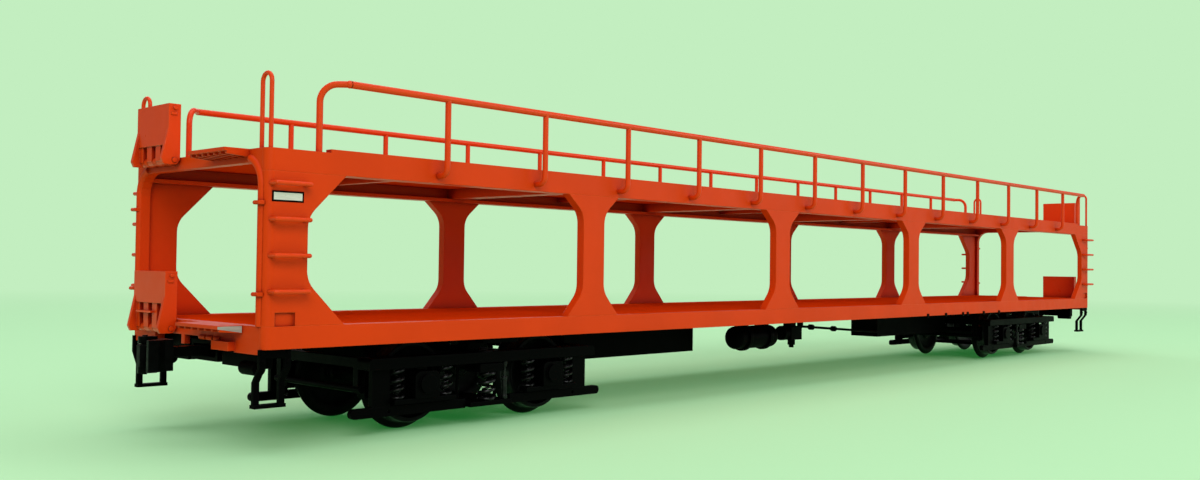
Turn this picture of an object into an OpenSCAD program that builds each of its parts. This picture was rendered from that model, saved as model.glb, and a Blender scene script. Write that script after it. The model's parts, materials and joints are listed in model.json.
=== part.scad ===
// Two-deck open car-carrier wagon on two four-wheel bogies, HO size, 16.5 mm gauge.
// Frame: X along the wagon (front end at -X), Y across it (left side at -Y), Z up.
// The origin is on the plane that the wheel flanges touch, at the middle of the wagon.

/* [Body] */
// Length of the body over its end faces
body_l = 245; // [204:0.5:294]
// Width of the body over its side sills
body_w = 32.3; // [29:0.1:38.8]
// Height of the side sill's lower edge
sill_z = 11.6; // [11.6:0.1:14]
// Height of the side sill
sill_h = 2.5; // [2.2:0.1:4]
// Clear height between side sill and top beam
bay_h = 16.95; // [14.5:0.05:24]
// Height of the top beam
beam_h = 2.5; // [2.2:0.1:4]
// Thickness of sills, beams and corner panels
wall = 1.1; // [0.9:0.05:1.4]
// Depth of the inward flanges of sills and beams
flange_w = 1.7; // [1.4:0.1:2.2]
// Thickness of the flanges
flange_t = 0.5; // [0.4:0.05:0.6]
// Radius of the body's vertical corners
corner_r = 0.9; // [0.4:0.1:1]
// Height of the curb along the top beams
curb_h = 0.4; // [0.2:0.1:0.8]

/* [Bays and posts] */
// Number of bays along each side
bays = 5; // [4:1:6]
// Distance from the end face to the first bay line
bay_margin = 3.75; // [3:0.25:5]
// Width of an intermediate post
post_w = 4.2; // [3.4:0.1:5.4]
// Depth of an intermediate post
post_d = 1.3; // [1.1:0.05:1.6]
// Width of the corner panels
panel_w = 5.1; // [4.6:0.1:6]
// Reach of the post gussets along the sill
gusset_w = 3; // [1.5:0.1:4]
// Height of the lower post gussets
gusset_h = 3.4; // [2:0.1:4.5]
// Height of the upper post gussets
gusset_top_h = 2.6; // [1.5:0.1:4]
// Reach and height of the corner panel gussets
corner_gusset = 4.9; // [3:0.1:6]

/* [Decks and ends] */
// Thickness of both deck plates
deck_t = 0.5; // [0.4:0.05:0.8]
// Thickness of the end portals and end sills
end_t = 1.2; // [1:0.1:1.5]
// Width of the portal legs
portal_w = 1.7; // [1.4:0.1:2.2]
// Corner radius of the portal arch
arch_r = 2.7; // [1.5:0.1:4]
// Depth of the portal's top member under the deck top
arch_top = 1.5; // [1.2:0.1:2]

/* [Gangplates] */
// Distance from the centre line to a gangplate's inner edge
gang_in = 3.9; // [3:0.1:5]
// Width of a gangplate
gang_w = 8.4; // [7:0.1:9]
// Height of an upper gangplate when folded up
gang_up_h = 6.4; // [5:0.1:8.2]
// Height of a lower gangplate when folded up
gang_low_h = 5.75; // [5:0.05:7]
// Thickness of a gangplate's slab
slab_t = 1.5; // [1.3:0.05:1.6]
// Depth of a gangplate's side fins at the foot
fin_t = 2.3; // [1.8:0.05:2.5]
// Diameter of a gangplate hinge pin
hinge_d = 0.6; // [0.5:0.05:0.8]

/* [Handrails, hoops, rungs and steps] */
// Distance of a handrail's end post from the end face
rail_inset = 6.7; // [5.7:0.1:9]
// Number of spaces between the handrail posts
rail_bays = 14; // [10:1:16]
// Height of the handrail above the deck
rail_h = 7.7; // [6:0.1:12]
// Diameter of the handrail tube
rail_d = 0.85; // [0.5:0.05:0.9]
// Distance of the handrail outside the side sills
rail_out = 1.75; // [1.5:0.05:2.5]
// Diameter of the corner hoop rod
hoop_d = 0.5; // [0.4:0.05:0.8]
// Distance between a hoop's legs
hoop_w = 1.9; // [1.6:0.1:3]
// Height of a hoop above the deck
hoop_h = 8.25; // [6:0.05:12]
// Number of rungs on a corner panel
rungs = 4; // [3:1:5]
// Distance between rungs
rung_pitch = 3.93; // [2.6:0.01:3.95]
// Diameter of a rung
rung_d = 0.5; // [0.4:0.05:0.6]
// Distance that the rungs stand out
rung_out = 1.25; // [1:0.05:1.5]
// Width of a corner step
step_w = 3.8; // [3:0.1:4.5]
// Drop of a corner step below the side sill
step_drop = 6.45; // [5:0.05:8]

/* [Running gear] */
// Distance of the bogie centres from the end faces
bogie_inset = 35.4; // [34:0.1:45]
// Distance between the axles of a bogie
wheelbase = 22; // [21:0.1:26]
// Diameter of the wheel tread
tread_d = 10.5; // [9.6:0.1:10.8]
// Height of the wheel flange
flange_h = 0.9; // [0.6:0.05:1]
// Distance between the backs of the wheels
back_to_back = 14.4; // [13.8:0.1:14.6]
// Width of a wheel
wheel_w = 2.8; // [2.4:0.1:3]
// Diameter of an axle
axle_d = 2; // [1.6:0.1:2.4]
// Diameter of an axle journal
journal_d = 1.2; // [1:0.05:1.6]
// Radial clearance of a journal in its axlebox
journal_gap = 0.05; // [0.02:0.01:0.1]
// Distance of the bogie side frames from the centre line
side_in = 10.4; // [10.3:0.05:11]
// Width of the bogie side frames
side_w = 2.6; // [2.4:0.1:3]
// Distance of the bogie frame's ends beyond the axles
frame_over = 8.5; // [8.3:0.1:10]
// Distance of the tie bars' ends beyond the axles
tie_over = 10.5; // [8.5:0.1:12]
// Diameter of the kingpin screws
kingpin_d = 2; // [1.6:0.1:2.4]
// Radial clearance of a kingpin in its bogie bolster
kingpin_gap = 0.05; // [0.02:0.01:0.1]

/* [Underframe] */
// Half width of the centre sill
spine_w = 3.2; // [2.6:0.1:3.4]
// Distance from the middle to the inner ends of the deep boxes
deep_in = 32.2; // [28:0.1:36]
// Height of the deep boxes' lower faces
deep_z = 6.5; // [5:0.1:9]
// Diameter of the air reservoir
tank_d = 4; // [3:0.1:4.2]
// Length of the air reservoir
tank_l = 12.4; // [9:0.1:14]

/* [Couplers] */
// Distance of a coupler's pivot from the end face
coupler_inset = 7.5; // [6.5:0.1:9]
// Distance from a coupler's pivot to the root of its head
coupler_l = 11.5; // [11:0.1:13]
// Height of the coupler head
head_h = 4.2; // [3:0.1:4.6]
// Diameter of a coupler's pivot pin
coupler_pin_d = 1.2; // [1:0.1:1.6]

/* [Hidden] */
$fn = 40;

// Body levels and planes; "past" is how far a cut runs beyond the faces it opens
half_l = body_l / 2;
half_w = body_w / 2;
inner_w = half_w - wall;
under_plate = sill_z + flange_t;
sill_top = sill_z + sill_h;
beam_z = sill_top + bay_h;
beam_top = beam_z + beam_h;
deck_end = half_l - end_t;
lower_deck_top = sill_top;
lower_deck_half = half_w - flange_w;
under_deck = lower_deck_top - deck_t;
upper_deck_top = beam_top;
bay_pitch = (body_l - 2 * bay_margin) / bays;
blend_r = 3;
past = 1;
vermilion = [0.86, 0.27, 0.11];
satin_black = [0.09, 0.09, 0.1];
steel = [0.62, 0.62, 0.64];

// Bogie levels and planes, measured from the bogie centre
bogie_x = half_l - bogie_inset;
axle_z = tread_d / 2 + flange_h;
flange_r = axle_z;
wheel_out = back_to_back / 2 + wheel_w;
side_out = side_in + side_w;
side_mid = side_in + side_w / 2;
frame_reach = wheelbase / 2 + frame_over;
tie_reach = wheelbase / 2 + tie_over;
frame_z = 8.2;
frame_top = 9.6;
end_bar_t = 1.2;
end_bar_z = frame_z + 0.2;
pedestal_t = 1;
pedestal_gap = 0.2;
box_half = 1.9;
wing_reach = 4.8;
wing_z = 3.8;
wing_t = 0.6;
wing_y = side_in + pedestal_t + 0.05;
tie_z = 2.4;
tie_h = 1.2;
tie_t = 0.8;
tie_y = side_mid - tie_t / 2;
axle_spring_x = 3.75;
bolster_half = 2;
bolster_z = frame_z - 0.1;
bolster_drop = 1.2;
plank_half = 3.6;
plank_z = 2.5;
plank_t = 0.6;
plank_top = plank_z + plank_t;
transom_x = 2.6;
transom_w = 1.4;
transom_z = frame_z - 0.6;
boss_r = 2.6;
boss_top = 10.1;
spine_z = 10.9;
plate_gap = 0.05;
screw_top = sill_z + 0.7;

// Helpers ---------------------------------------------------------------

// Mirrored pair across the wagon, or along it
module both_sides() { children(); mirror([0, 1, 0]) children(); }
module both_ends() { children(); mirror([1, 0, 0]) children(); }

// The wagon's rear end is its front end turned half round
module turned() { rotate([0, 0, 180]) children(); }
module front_and_rear() { children(); turned() children(); }

// Box from its lowest corner to its highest
module block(low, high) { translate(low) cube(high - low); }

// Round rod between two points
module rod(a, b, d) {
    v = b - a;
    l = norm(v);
    translate(a) rotate([0, acos(v.z / l), atan2(v.y, v.x)]) cylinder(h = l, d = d);
}

// Cylinder along Y between two planes
module cross_rod(x, z, y1, y2, d) { translate([x, y1, z]) rotate([-90, 0, 0]) cylinder(h = y2 - y1, d = d); }

// Points of the arc that rounds the corner b of the path a, b, c with radius r
function unit(v) = v / norm(v);
function arc_points(a, b, c, r) =
    let (
        u = unit(a - b),
        v = unit(c - b),
        half = acos(min(1, max(-1, u * v))) / 2,
        along = r / tan(half),
        centre = b + unit(u + v) * r / sin(half),
        start = b + u * along - centre,
        finish = b + v * along - centre,
        turn = atan2(start.x * finish.y - start.y * finish.x, start * finish),
        steps = 5
    )
    [for (i = [0 : steps])
        let (t = turn * i / steps)
        centre + [start.x * cos(t) - start.y * sin(t), start.x * sin(t) + start.y * cos(t)]];

// Closed outline of corners [x, y, radius], each rounded by its own radius
function rounded(corners) =
    let (n = len(corners), flat = [for (c = corners) [c.x, c.y]])
    [for (i = [0 : n - 1])
        each corners[i].z > 0
            ? arc_points(flat[(i + n - 1) % n], flat[i], flat[(i + 1) % n], corners[i].z)
            : [flat[i]]];

// Outline in the XZ plane, extruded along Y between two planes
module side_plate(outline, y1, y2) {
    translate([0, y2, 0]) rotate([90, 0, 0]) linear_extrude(y2 - y1) polygon(outline);
}

// Outline in the YZ plane, extruded along X between two planes
module end_plate(outline, x1, x2) {
    translate([x1, 0, 0]) rotate([90, 0, 90]) linear_extrude(x2 - x1) polygon(outline);
}

// Plan of the whole body with its rounded corners, as a tall prism
module body_prism() {
    linear_extrude(beam_top + curb_h) {
        square([body_l, body_w - 2 * corner_r], center = true);
        square([body_l - 2 * corner_r, body_w], center = true);
        for (x = [-1, 1], y = [-1, 1])
            translate([x * (half_l - corner_r), y * (half_w - corner_r)]) circle(corner_r);
    }
}

// Body shell ------------------------------------------------------------

// Channel with its web outside, open to the middle
module side_sill() {
    intersection() {
        block([-half_l, -half_w, sill_z], [half_l, -inner_w, sill_top]);
        body_prism();
    }
    for (z = [sill_z, sill_top - flange_t])
        block([-deck_end, -inner_w, z], [deck_end, -half_w + flange_w, z + flange_t]);
}
module side_sill_left() { color(vermilion) side_sill(); }
module side_sill_right() { color(vermilion) mirror([0, 1, 0]) side_sill(); }

// Small clips hooked over the lower edge of the side sills, under the fourth bay
module sill_clips() {
    clip_w = 0.8;
    clip_t = 0.15;
    clip_drop = 0.35;
    clip_rise = 0.45;
    clip_pitch = 8.2;
    first = 1.15;
    middle = bay_pitch * (3.5 - bays / 2);
    color(satin_black) both_sides()
        for (s = [-1, 1], i = [0 : 2]) {
            x = middle + s * (first + i * clip_pitch);
            block(
                [x - clip_w / 2, -half_w - clip_t, sill_z - clip_drop],
                [x + clip_w / 2, -half_w, sill_z + clip_rise]
            );
            block(
                [x - clip_w / 2, -half_w, sill_z - clip_drop],
                [x + clip_w / 2, -half_w + flange_w, sill_z]
            );
        }
}

// Angle with a raised curb on top, which stops short of the handrail's end posts
module top_beam() {
    curb_gap = 0.4;
    curb_l = half_l - rail_inset - rail_d - curb_gap;
    ledge_w = flange_w + 0.6;
    intersection() {
        union() {
            block([-half_l, -half_w, beam_z], [half_l, -inner_w, beam_top]);
            block([-curb_l, -half_w, beam_top], [curb_l, -inner_w, beam_top + curb_h]);
        }
        body_prism();
    }
    block([-deck_end, -inner_w, beam_z], [deck_end, -half_w + ledge_w, beam_z + flange_t]);
}
module top_beam_left() { color(vermilion) top_beam(); }
module top_beam_right() { color(vermilion) mirror([0, 1, 0]) top_beam(); }

// Posts with gussets at both ends, at the bay lines
module posts() {
    foot = post_w / 2 + gusset_w;
    outline = rounded([
        [-foot, sill_top, 0],
        [-post_w / 2, sill_top + gusset_h, blend_r],
        [-post_w / 2, beam_z - gusset_top_h, blend_r],
        [-foot, beam_z, 0],
        [foot, beam_z, 0],
        [post_w / 2, beam_z - gusset_top_h, blend_r],
        [post_w / 2, sill_top + gusset_h, blend_r],
        [foot, sill_top, 0]
    ]);
    for (i = [1 : bays - 1])
        translate([-half_l + bay_margin + i * bay_pitch, 0, 0])
            side_plate(outline, -half_w, -half_w + post_d);
}
module posts_left() { color(vermilion) posts(); }
module posts_right() { color(vermilion) mirror([0, 1, 0]) posts(); }

// Corner panels with one gusset above and one below, and a shallow pocket at the foot
module corner_panels() {
    edge = -half_l + panel_w;
    outline = rounded([
        [-half_l, sill_top, 0],
        [-half_l, beam_z, 0],
        [edge + corner_gusset, beam_z, 0],
        [edge, beam_z - corner_gusset, blend_r],
        [edge, sill_top + corner_gusset, blend_r],
        [edge + corner_gusset, sill_top, 0]
    ]);
    pocket_in = 1.2;
    pocket_w = 2.5;
    pocket_h = 1.5;
    pocket_depth = 0.35;
    both_ends() difference() {
        intersection() {
            side_plate(outline, -half_w, -inner_w);
            body_prism();
        }
        block(
            [-half_l + pocket_in, -half_w - past, sill_top - past],
            [-half_l + pocket_in + pocket_w, -half_w + pocket_depth, sill_top + pocket_h]
        );
    }
}
module corner_panels_left() { color(vermilion) corner_panels(); }
module corner_panels_right() { color(vermilion) mirror([0, 1, 0]) corner_panels(); }

// Inverted U between the corner panels, with a bead round its arch and lashing eyes on its legs
leg_in = half_w - portal_w;
arch_z = upper_deck_top - arch_top;
hinge_zone = gang_in + gang_w + 0.15;

// Half-round bead up one leg and round the arch's corner, ending short of the hinges
module bead() {
    bead_w = 0.95;
    bead_out = 0.35;
    r = (bead_w * bead_w / 4 + bead_out * bead_out) / (2 * bead_out);
    x = -half_l + r - bead_out;
    y = leg_in + bead_w / 2;
    z = arch_z - arch_r;
    bend_r = arch_r + bead_w / 2;
    difference() {
        union() {
            translate([x, y, sill_top]) cylinder(h = z - sill_top, r = r);
            translate([x, y - bend_r, z]) rotate([90, 0, 90])
                rotate_extrude(angle = 90) translate([bend_r, 0]) circle(r);
        }
        block([-half_l, 0, 0], [0, half_w, beam_top]);
        block([-half_l - past, 0, arch_z - past], [-half_l + past, hinge_zone, beam_top]);
    }
}

// Lashing eye: a short bar across the leg on two feet
module eye(z) {
    bar_d = 0.45;
    bar_w = 1.2;
    foot_w = 0.35;
    out = 0.55;
    y = leg_in + 0.05;
    cross_rod(-half_l - out, z, y, y + bar_w, bar_d);
    for (foot_y = [y, y + bar_w - foot_w])
        block([-half_l - out, foot_y, z - bar_d / 2], [-half_l, foot_y + foot_w, z + bar_d / 2]);
}
module portal() {
    end_plate(rounded([
        [-inner_w, sill_top, 0],
        [-inner_w, upper_deck_top, 0],
        [inner_w, upper_deck_top, 0],
        [inner_w, sill_top, 0],
        [leg_in, sill_top, 0],
        [leg_in, arch_z, arch_r],
        [-leg_in, arch_z, arch_r],
        [-leg_in, sill_top, 0]
    ]), -half_l, -deck_end);
    both_sides() {
        bead();
        eye(sill_top + 3.5);
        eye(beam_z - 3.5);
    }
}
module portal_front() { color(vermilion) portal(); }
module portal_rear() { color(vermilion) turned() portal(); }

// End sill: shallow in the middle, deeper at both feet, with its bracket, lugs and hanging peg
module end_sill() {
    foot_in = 9.7;
    foot_z = sill_z - 0.6;
    middle_z = sill_z + 0.8;
    end_plate([
        [-inner_w, foot_z],
        [-inner_w, sill_top],
        [inner_w, sill_top],
        [inner_w, foot_z],
        [foot_in, foot_z],
        [foot_in, middle_z],
        [-foot_in, middle_z],
        [-foot_in, foot_z]
    ], -half_l, -deck_end);
    // Stepped bracket against the left foot
    bracket_in = 6.2;
    bracket_out = 0.9;
    bracket_lap = 0.3;
    bracket_z = [sill_z - 0.4, sill_z + 0.6];
    block(
        [-half_l - bracket_out, -foot_in - bracket_lap, bracket_z[0]],
        [-half_l, -bracket_in, bracket_z[1]]
    );
    block([-half_l, -foot_in, bracket_z[1] - 0.2], [-deck_end, -bracket_in, middle_z]);
    // Three small lugs under the landing apron
    lug_d = 0.55;
    lug_w = 1.3;
    lug_pitch = 1.75;
    lug_y = -bracket_in - 0.6;
    lug_out = 0.05;
    for (i = [0 : 2])
        cross_rod(
            -half_l - lug_out, middle_z - lug_out,
            lug_y + i * lug_pitch, lug_y + i * lug_pitch + lug_w, lug_d
        );
    // Hanging peg
    peg_y = 2;
    peg_w = 0.8;
    peg_t = 0.7;
    block([-half_l, peg_y, sill_z - 0.3], [-half_l + peg_t, peg_y + peg_w, middle_z]);
}
module end_sill_front() { color(vermilion) end_sill(); }
module end_sill_rear() { color(vermilion) turned() end_sill(); }

// Deck plates: the lower one lies flush between the sill flanges, the upper one between the beams
module deck(top, reach) {
    color(vermilion) block([-deck_end, -reach, top - deck_t], [deck_end, reach, top]);
}
module lower_deck() { deck(lower_deck_top, lower_deck_half); }
module upper_deck() { deck(upper_deck_top, inner_w); }

// Cross member under the lower deck, notched where the sills' upper flanges pass
module cross_member(x1, x2) {
    under_flange = min(sill_top - flange_t, under_deck);
    end_plate([
        [-inner_w, under_plate],
        [-inner_w, under_flange],
        [-lower_deck_half, under_flange],
        [-lower_deck_half, under_deck],
        [lower_deck_half, under_deck],
        [lower_deck_half, under_flange],
        [inner_w, under_flange],
        [inner_w, under_plate]
    ], x1, x2);
}

// Bearers under the lower deck, kept clear of the wheels and the body bolsters
module lower_bearers() {
    wheel_zone = wheelbase / 2 + flange_r + 2.5;
    end_zone = 7;
    bearer_w = 1.2;
    pitch = bay_pitch / 4;
    color(satin_black) for (i = [-2 * bays + 1 : 2 * bays - 1])
        if (abs(abs(i * pitch) - bogie_x) > wheel_zone && abs(i * pitch) < half_l - end_zone)
            cross_member(i * pitch - bearer_w / 2, i * pitch + bearer_w / 2);
}

// Bearers under the upper deck: deep ones at the posts, light ones between
module upper_bearers() {
    top = upper_deck_top - deck_t;
    deep_w = 2.8;
    light_w = 1;
    light_h = 0.8;
    color(vermilion) for (i = [1 : 2 * bays - 1]) {
        x = -half_l + bay_margin + i * bay_pitch / 2;
        deep = i % 2 == 0;
        reach = (deep ? deep_w : light_w) / 2;
        block([x - reach, -inner_w, deep ? beam_z + flange_t : top - light_h], [x + reach, inner_w, top]);
    }
}

// Gangplates, aprons and hinges ------------------------------------------

// Hinge axis: outside the end face, under the deck top
hinge_x = -half_l - 0.8;
upper_drop = 0.35;
lower_drop = 1.1;
barrel_d = hinge_d + 0.5;
barrel_gap = 0.08;
hinge_gap = 0.04;
gang_gap = 0.1;
gang_out = gang_in + gang_w;

// Along the hinge: arms of the gangplate, with the lugs of the wagon between them
arms = 4;
hinge_lug_w = 0.9;
arm_w = (gang_w - (arms - 1) * hinge_lug_w) / arms;
function arm_y(i) = gang_in + i * (arm_w + hinge_lug_w);

// Landing apron with its ribs beneath, deeper at the end face
module landing(deck_top, in_y, out_y) {
    reach = 3;
    plate_t = 0.4;
    rib_n = 7;
    rib_w = 0.4;
    rib_pitch = (out_y - in_y - rib_w) / (rib_n - 1);
    plate_z = deck_top - plate_t;
    tip_x = -half_l - reach + 0.3;
    block([-half_l - reach, -out_y, plate_z], [-half_l, -in_y, deck_top]);
    for (i = [0 : rib_n - 1])
        translate([0, -out_y + i * rib_pitch, 0])
            side_plate([
                [tip_x, plate_z],
                [tip_x, plate_z - 0.3],
                [-half_l, plate_z - 0.5],
                [-half_l, plate_z]
            ], 0, rib_w);
}

// Three lugs with their barrels
module lugs(z) {
    r = barrel_d / 2;
    difference() {
        for (i = [0 : arms - 2]) {
            y = arm_y(i) + arm_w;
            cross_rod(hinge_x, z, y, y + hinge_lug_w, barrel_d);
            block([hinge_x, y, z - r], [-half_l, y + hinge_lug_w, z + r / 2]);
        }
        cross_rod(hinge_x, z, gang_in - past, gang_out + past, hinge_d);
    }
}
module aprons() {
    color(vermilion) front_and_rear() {
        landing(upper_deck_top, gang_in, gang_out);
        landing(lower_deck_top, gang_in - 2.1, gang_out - 0.8);
        lugs(upper_deck_top - upper_drop);
        lugs(lower_deck_top - lower_drop);
    }
}

// Pins held by the lugs, standing out past the gangplates' outer edges
module hinge_pins() {
    over = 0.1;
    outer_over = 1.3;
    color(vermilion) front_and_rear()
        for (z = [upper_deck_top - upper_drop, lower_deck_top - lower_drop])
            cross_rod(hinge_x, z, gang_in - over, gang_out + outer_over, hinge_d);
}

// Folding gangplate: a flat slab over a ribbed foot, with a flared fin down each side
module gangplate(deck_top, drop, h, lip, cut) {
    z = deck_top - drop;
    top = deck_top + h;
    lip_z = z + lip;
    foot = z + barrel_d / 2 + 0.15;
    in_x = -half_l - gang_gap;
    slab_x = in_x - slab_t;
    rib_x = slab_x + 0.15;
    web_x = in_x - 0.6;
    fin_x = in_x - fin_t;
    fin_w = 0.5;
    fin_top = top - 3;
    y1 = gang_in;
    y2 = gang_out;
    difference() {
        union() {
            // Slab, cut away at its lower corners
            end_plate([
                [y1 + cut, lip_z],
                [y1, lip_z + cut],
                [y1, top],
                [y2, top],
                [y2, lip_z + cut],
                [y2 - cut, lip_z]
            ], slab_x, in_x);
            block([web_x, y1, foot], [in_x, y2, lip_z + cut]);
            // Arms: ribs that run down to the barrels
            for (i = [0 : arms - 1]) {
                y = arm_y(i) + (i == 0 ? 0 : barrel_gap);
                y_end = arm_y(i) + arm_w - (i == arms - 1 ? 0 : barrel_gap);
                cross_rod(hinge_x, z, y, y_end, barrel_d);
                block([rib_x, y, z], [in_x, y_end, lip_z + cut]);
            }
            for (y = [y1, y2 - fin_w])
                side_plate([
                    [in_x, z],
                    [in_x, top],
                    [slab_x, top],
                    [slab_x, fin_top],
                    [fin_x, z + 0.1],
                    [fin_x + 0.3, z - barrel_d / 2],
                    [hinge_x, z - barrel_d / 2]
                ], y, y + fin_w);
        }
        cross_rod(hinge_x, z, y1 - past, y2 + past, hinge_d + 2 * hinge_gap);
    }
    // Knob and pad on the inner side, near the top
    knob_d = 0.45;
    cross_rod(in_x - slab_t / 2, top - 0.5, y1 - 0.25, y1, knob_d);
    block([slab_x + 0.3, y1 - 0.12, top - 1.35], [in_x - 0.5, y1, top - 1.05]);
}
module upper_gangplate() { gangplate(upper_deck_top, upper_drop, gang_up_h, 1.85, 0); }
module lower_gangplate() {
    gangplate(lower_deck_top, lower_drop, gang_low_h, 3, 0.8);
    // Ledge across the two middle ribs
    ledge_z = lower_deck_top - lower_drop + 1.8;
    ledge_x = -half_l - gang_gap - slab_t;
    block([ledge_x - 0.35, arm_y(1) + arm_w / 2, ledge_z], [ledge_x + 0.4, arm_y(3), ledge_z + 0.25]);
}
module gangplate_upper_front() { color(vermilion) upper_gangplate(); }
module gangplate_upper_rear() { color(vermilion) turned() upper_gangplate(); }
module gangplate_lower_front() { color(vermilion) lower_gangplate(); }
module gangplate_lower_rear() { color(vermilion) turned() lower_gangplate(); }

// Handrails, hoops, rungs and steps ---------------------------------------

// Rail along one side: hooked posts outside the beam, end posts on the deck
module handrail() {
    foot_in = 0.6;
    out_y = -half_w - rail_out;
    end_y = -half_w + foot_in;
    end_x = half_l - rail_inset;
    kink_x = end_x - (rail_out + foot_in);
    z = upper_deck_top + rail_h;
    bend_r = 2;
    slim_d = rail_d - 0.1;
    hook_r = 1;
    hook_z = beam_top - 1.6;
    d = rail_d;
    rod([-kink_x, out_y, z], [kink_x, out_y, z], d);
    both_ends() {
        // Knuckle where the tubes meet, a touch wider than they are
        translate([-kink_x, out_y, z]) sphere(d = d + 0.05);
        // End post, bent over towards the rail line
        translate([-end_x, end_y, 0]) rotate([0, 0, -45]) {
            cylinder(h = z - bend_r, d = slim_d);
            translate([bend_r, 0, z - bend_r]) rotate([90, 0, 180])
                rotate_extrude(angle = 90) translate([bend_r, 0]) circle(d = slim_d);
            rod([bend_r, 0, z], [(end_x - kink_x) * sqrt(2), 0, z], slim_d);
        }
    }
    for (i = [1 : rail_bays - 1]) {
        x = -end_x + i * 2 * end_x / rail_bays;
        rod([x, out_y, hook_z + hook_r], [x, out_y, z], slim_d);
        translate([x, out_y + hook_r, hook_z + hook_r]) rotate([0, 90, 0]) rotate([0, 0, -90])
            rotate_extrude(angle = 90) translate([hook_r, 0]) circle(d = slim_d);
        rod([x, out_y + hook_r, hook_z], [x, -half_w, hook_z], slim_d);
    }
}
module handrail_cut() {
    difference() {
        handrail();
        block([-half_l, -half_w, 0], [half_l, half_w, upper_deck_top]);
    }
}
module handrail_left() { color(vermilion) handrail_cut(); }
module handrail_right() { color(vermilion) mirror([0, 1, 0]) handrail_cut(); }

// U-shaped hoop across each top corner
module hoop() {
    x = -half_l + 0.6;
    r = hoop_w / 2;
    top = upper_deck_top + hoop_h - r;
    outer = -half_w + 0.45;
    for (y = [outer, outer + hoop_w])
        rod([x, y, upper_deck_top], [x, y, top], hoop_d);
    translate([x, outer + r, top]) rotate([90, 0, 90])
        rotate_extrude(angle = 180) translate([r, 0]) circle(d = hoop_d);
}
module corner_hoops() { color(vermilion) both_ends() both_sides() hoop(); }

// U-shaped rungs on the corner panels
module rung(z) {
    edge = 0.5;
    x1 = -half_l + edge;
    x2 = -half_l + panel_w - edge;
    y = -half_w - rung_out;
    rod([x1, y, z], [x2, y, z], rung_d);
    for (x = [x1, x2]) {
        translate([x, y, z]) sphere(d = rung_d);
        rod([x, y, z], [x, -half_w, z], rung_d);
    }
}
module ladder_rungs() {
    first = sill_top + 3.8;
    color(vermilion) both_ends() both_sides() for (i = [0 : rungs - 1]) rung(first + i * rung_pitch);
}

// Stirrup step with an inward jog half way down, on a plate behind the side sill
module corner_step() {
    x = -half_l + 1.7;
    x1 = x - step_w / 2;
    x2 = x + step_w / 2;
    leg_w = 0.7;
    leg_t = 0.5;
    y = -half_w + 0.5;
    jog = 1.2;
    jog_top = sill_z - 2;
    jog_low = jog_top - 1.6;
    low = sill_z - step_drop;
    lip = 0.3;
    tread_t = 0.4;
    plate_h = 0.9;
    for (leg_x = [x1, x2 - leg_w])
        end_plate([
            [y, sill_z],
            [y + leg_t, sill_z],
            [y + leg_t, jog_top],
            [y + leg_t + jog, jog_low],
            [y + leg_t + jog, low],
            [y + jog, low],
            [y + jog, jog_low],
            [y, jog_top]
        ], leg_x, leg_x + leg_w);
    block([x1, y + jog - lip, low], [x2, y + jog + leg_t + lip, low + tread_t]);
    block([x1, y, sill_z - plate_h], [x2, y + leg_t, sill_z]);
    // Bolt heads down both legs
    bolt_d = 0.4;
    bolt_h = 0.15;
    for (leg_x = [x1, x2 - leg_w], drop = [0.4, 1.3])
        cross_rod(leg_x + leg_w / 2, sill_z - drop, y - bolt_h, y, bolt_d);
}
module corner_steps() { color(satin_black) both_ends() both_sides() corner_step(); }

// Underframe --------------------------------------------------------------

bolster_zone = 3;

// Centre sill with two deep boxes, broken at the body bolsters
module centre_sill() {
    spine_end = half_l - coupler_inset - 4;
    deep_out = bogie_x - frame_reach - 3.5;
    color(satin_black) difference() {
        side_plate([
            [-spine_end, spine_z],
            [-spine_end, under_plate],
            [spine_end, under_plate],
            [spine_end, spine_z],
            [deep_out, spine_z],
            [deep_out, deep_z],
            [deep_in, deep_z],
            [deep_in, spine_z],
            [-deep_in, spine_z],
            [-deep_in, deep_z],
            [-deep_out, deep_z],
            [-deep_out, spine_z]
        ], -spine_w, spine_w);
        both_ends()
            block(
                [bogie_x - bolster_zone, -spine_w - past, spine_z - past],
                [bogie_x + bolster_zone, spine_w + past, under_plate + past]
            );
    }
}

// Body bolsters with their centre bosses, bored for the kingpin screws
module body_bolsters() {
    flange_in = half_w - flange_w;
    boss_z = boss_top + plate_gap;
    color(satin_black) both_ends() translate([-bogie_x, 0, 0]) difference() {
        union() {
            block([-bolster_zone, -flange_in, spine_z], [bolster_zone, flange_in, under_plate]);
            cross_member(-bolster_zone, bolster_zone);
            translate([0, 0, boss_z]) cylinder(h = under_plate - boss_z, r = boss_r);
        }
        translate([0, 0, boss_z - past]) cylinder(h = screw_top + 0.2 - boss_z + past, d = kingpin_d);
    }
}

// Headstocks behind the end sills, with hose blocks, leaving room for the coupler boxes
module headstocks() {
    x1 = -deck_end + 0.4;
    x2 = x1 + 1.6;
    in_y = spine_w + 0.9;
    out_y = half_w - flange_w - 2;
    low = sill_z - 2.4;
    hose_d = 1.6;
    hose_in = 3.6;
    hose_w = 3.2;
    color(satin_black) both_ends() both_sides() {
        block([x1, in_y, low], [x2, out_y, under_deck]);
        cross_rod(x1 + 0.2, low, out_y - hose_in, out_y - hose_in + hose_w, hose_d);
    }
}

valve_x = -9.2;
plate_t = 0.4;
tank_x = -21.3;
tank_y = -8;
tank_z = spine_z - tank_d / 2 - 0.1;

// Air reservoir: cylinder with dished ends
module air_reservoir() {
    r = tank_d / 2;
    dish = 1.1;
    color(satin_black) translate([tank_x - tank_l / 2, tank_y, tank_z]) rotate([0, 90, 0])
        rotate_extrude() polygon(concat(
            [[0, 0]],
            [for (a = [10 : 16 : 90]) [r * sin(a), dish * (1 - cos(a))]],
            [for (a = [90 : -16 : 10]) [r * sin(a), tank_l - dish * (1 - cos(a))]],
            [[0, tank_l]]
        ));
}

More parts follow.
